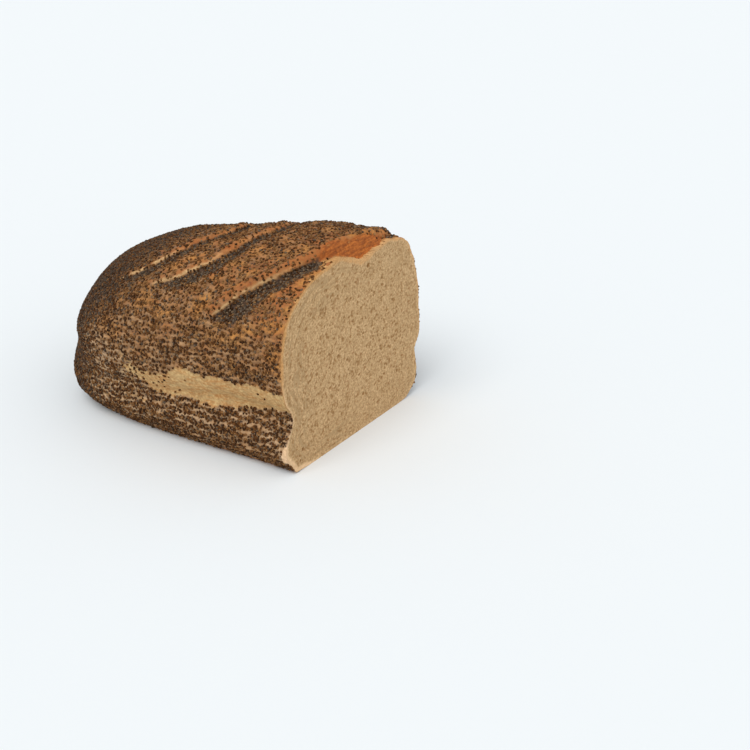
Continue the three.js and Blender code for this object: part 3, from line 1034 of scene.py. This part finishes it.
def grainShape():
    # a small grain of 20 faces, bent a little like a bean
    golden = (1 + 5 ** 0.5) / 2
    corners = []
    for a in (-1, 1):
        for b in (-golden, golden):
            corners += [(0, a, b), (a, b, 0), (b, 0, a)]
    corners = np.array(corners) / math.hypot(1, golden)
    faces = []
    longestSide = 1.06
    for trio in itertools.combinations(range(12), 3):
        three = corners[list(trio)]
        if lengths(three - np.roll(three, -1, axis=0)).max() < longestSide:
            facing = np.cross(three[1] - three[0], three[2] - three[0]) @ three.sum(0)
            faces.append(trio if facing > 0 else (trio[0], trio[2], trio[1]))
    corners = corners * np.array([seedForm["length"], seedForm["breadth"], seedForm["height"]]) / 2
    corners[:, 1] += seedForm["bend"] * corners[:, 0] ** 2
    return corners, np.array(faces)


def layGrains(seeds, corners, random):
    # the corners of every seed, turned and tilted at random and half sunk in the skin
    count = len(seeds["angle"])
    normal = unit(seeds["normal"])
    spin = random.uniform(0, math.tau, count)[:, None]
    helper = np.where(np.abs(normal[:, :1]) < 0.8, [[1.0, 0, 0]], [[0, 1.0, 0]])
    first = unit(np.cross(helper, normal))
    along = first * np.cos(spin) + np.cross(normal, first) * np.sin(spin)
    along = unit(along + normal * random.normal(0, seedForm["tilt"], (count, 1)))
    sideways = unit(np.cross(normal, along))
    upward = np.cross(along, sideways)
    size = 1 + seedForm["vary"] * np.clip(random.standard_normal(count), -2, 2)
    axes = np.stack([along, sideways, upward], axis=1)
    solid = (corners @ axes) * size[:, None, None]
    lift = (seedForm["lift"] + 0.08 * random.standard_normal(count))[:, None]
    return solid + (seeds["points"] + normal * lift)[:, None]


def seedPieces(crust):
    random = np.random.default_rng(9)
    seeds = placeSeeds(crust, random)
    corners, grainFaces = grainShape()
    solid = layGrains(seeds, corners, random)
    count = len(solid)
    # painted shade: seeds at the rounded end are darker in tone
    tone = random.random(count) * (1 - 0.85 * seeds["shade"])
    pick = random.random(count)
    behind = smooth((-14 - aroundOf(seeds["angle"])) / 16)  # over the crown's far shoulder, where greyer seeds are painted sheen
    # greyer seeds: unbrowned ones in the slash hollows, painted shade at the rounded end, painted sheen over
    # the far shoulder
    grey = np.maximum(seeds["valley"], np.maximum(0.65 * seeds["shade"], 0.4 * behind))
    onSide = smooth((80 - seeds["points"][:, 2]) / 22)
    local = corners / seedForm["length"] * 2
    pieces = []
    left = np.zeros(count)
    for name, (dark, pale, crownShare, sideShare, slashShare) in seedKinds.items():
        share = crownShare + (sideShare - crownShare) * onSide
        share += (slashShare - share) * grey
        chosen = (pick >= left) & (pick < left + share)
        left += share
        grains = solid[chosen]
        faces = (grainFaces[None] + 12 * np.arange(len(grains))[:, None, None]).reshape(-1, 3)
        u = np.clip(tone[chosen], 0.03, 0.97)[:, None] + 0.012 * (local[:, 0] + 0.37 * local[:, 1])
        v = np.broadcast_to(0.5 + 0.45 * local[:, 2] + 0.05 * local[:, 1], u.shape)
        uv = np.stack([u, v], axis=-1).reshape(-1, 2)[faces]
        material = seedMaterial(name + "Skin", dark, pale)
        pieces.append(meshPiece(name, material, grains.reshape(-1, 3), faces, uv, {}))
        print(f"{name}: {len(grains)} seeds")
    return pieces


studio = {
    "floorHalfSide": 12,
    "floor": (236, 240, 241),
    "roughness": 0.9,
    "specular": 0.0,
    "world": (250, 252, 255),
    "worldStrength": 0.64,
    "lamps": {  # strength, softness in degrees, and where it stands: degrees round from the front, and up
        "keySoftbox": (1.4, 40, 5, 55),
        "fillSoftbox": (0.5, 80, 80, 40),
    },
}
photoCamera = {
    "location": (0.43962, -0.51489, 0.34077),
    "tilt": 64,
    "turn": 34,
    "lens": 67.2,
    "farthest": 40,
}


def buildStage():
    mesh = bpy.data.meshes.new("studioFloor")
    half = studio["floorHalfSide"]
    corners = [(-half, -half, 0), (half, -half, 0), (half, half, 0), (-half, half, 0)]
    mesh.from_pydata(corners, [], [(0, 1, 2, 3)])
    material, tree, shader = newMaterial("palePaper", studio)
    shader.inputs["Base Color"].default_value = linear(*studio["floor"])
    mesh.materials.append(material)
    addObject("studioFloor", mesh)


def buildLight():
    world = bpy.data.worlds.new("softStudio")
    world.use_nodes = True
    backdrop = world.node_tree.nodes["Background"]
    backdrop.inputs["Color"].default_value = linear(*studio["world"])
    backdrop.inputs["Strength"].default_value = studio["worldStrength"]
    bpy.context.scene.world = world
    for name, (strength, softness, azimuth, elevation) in studio["lamps"].items():
        data = bpy.data.lights.new(name, "SUN")
        data.energy = strength
        data.angle = math.radians(softness)
        lamp = addObject(name, data)
        lamp.rotation_euler = (math.radians(90 - elevation), 0, math.radians(azimuth))
    bpy.context.scene.view_settings.view_transform = "Standard"
    bpy.context.scene.view_settings.look = "None"


def buildCamera():
    data = bpy.data.cameras.new("photoCamera")
    data.lens = photoCamera["lens"]
    data.clip_end = photoCamera["farthest"]
    camera = addObject("photoCamera", data)
    camera.location = photoCamera["location"]
    camera.rotation_euler = (math.radians(photoCamera["tilt"]), 0, math.radians(photoCamera["turn"]))
    bpy.context.scene.camera = camera


buildStage()
buildLight()
buildCamera()
print("stage, light and camera set")
crustData = buildCrust()
loafPieces = [crustPiece(crustData)]
print("crust baked")
loafPieces.append(buildCrumb(crustData))
print("crumb cut")
loafPieces += seedPieces(crustData)
print("seeds strewn")
for piece in loafPieces:
    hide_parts("loaf")
    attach(piece, "root")

bpy.context.view_layer.update()
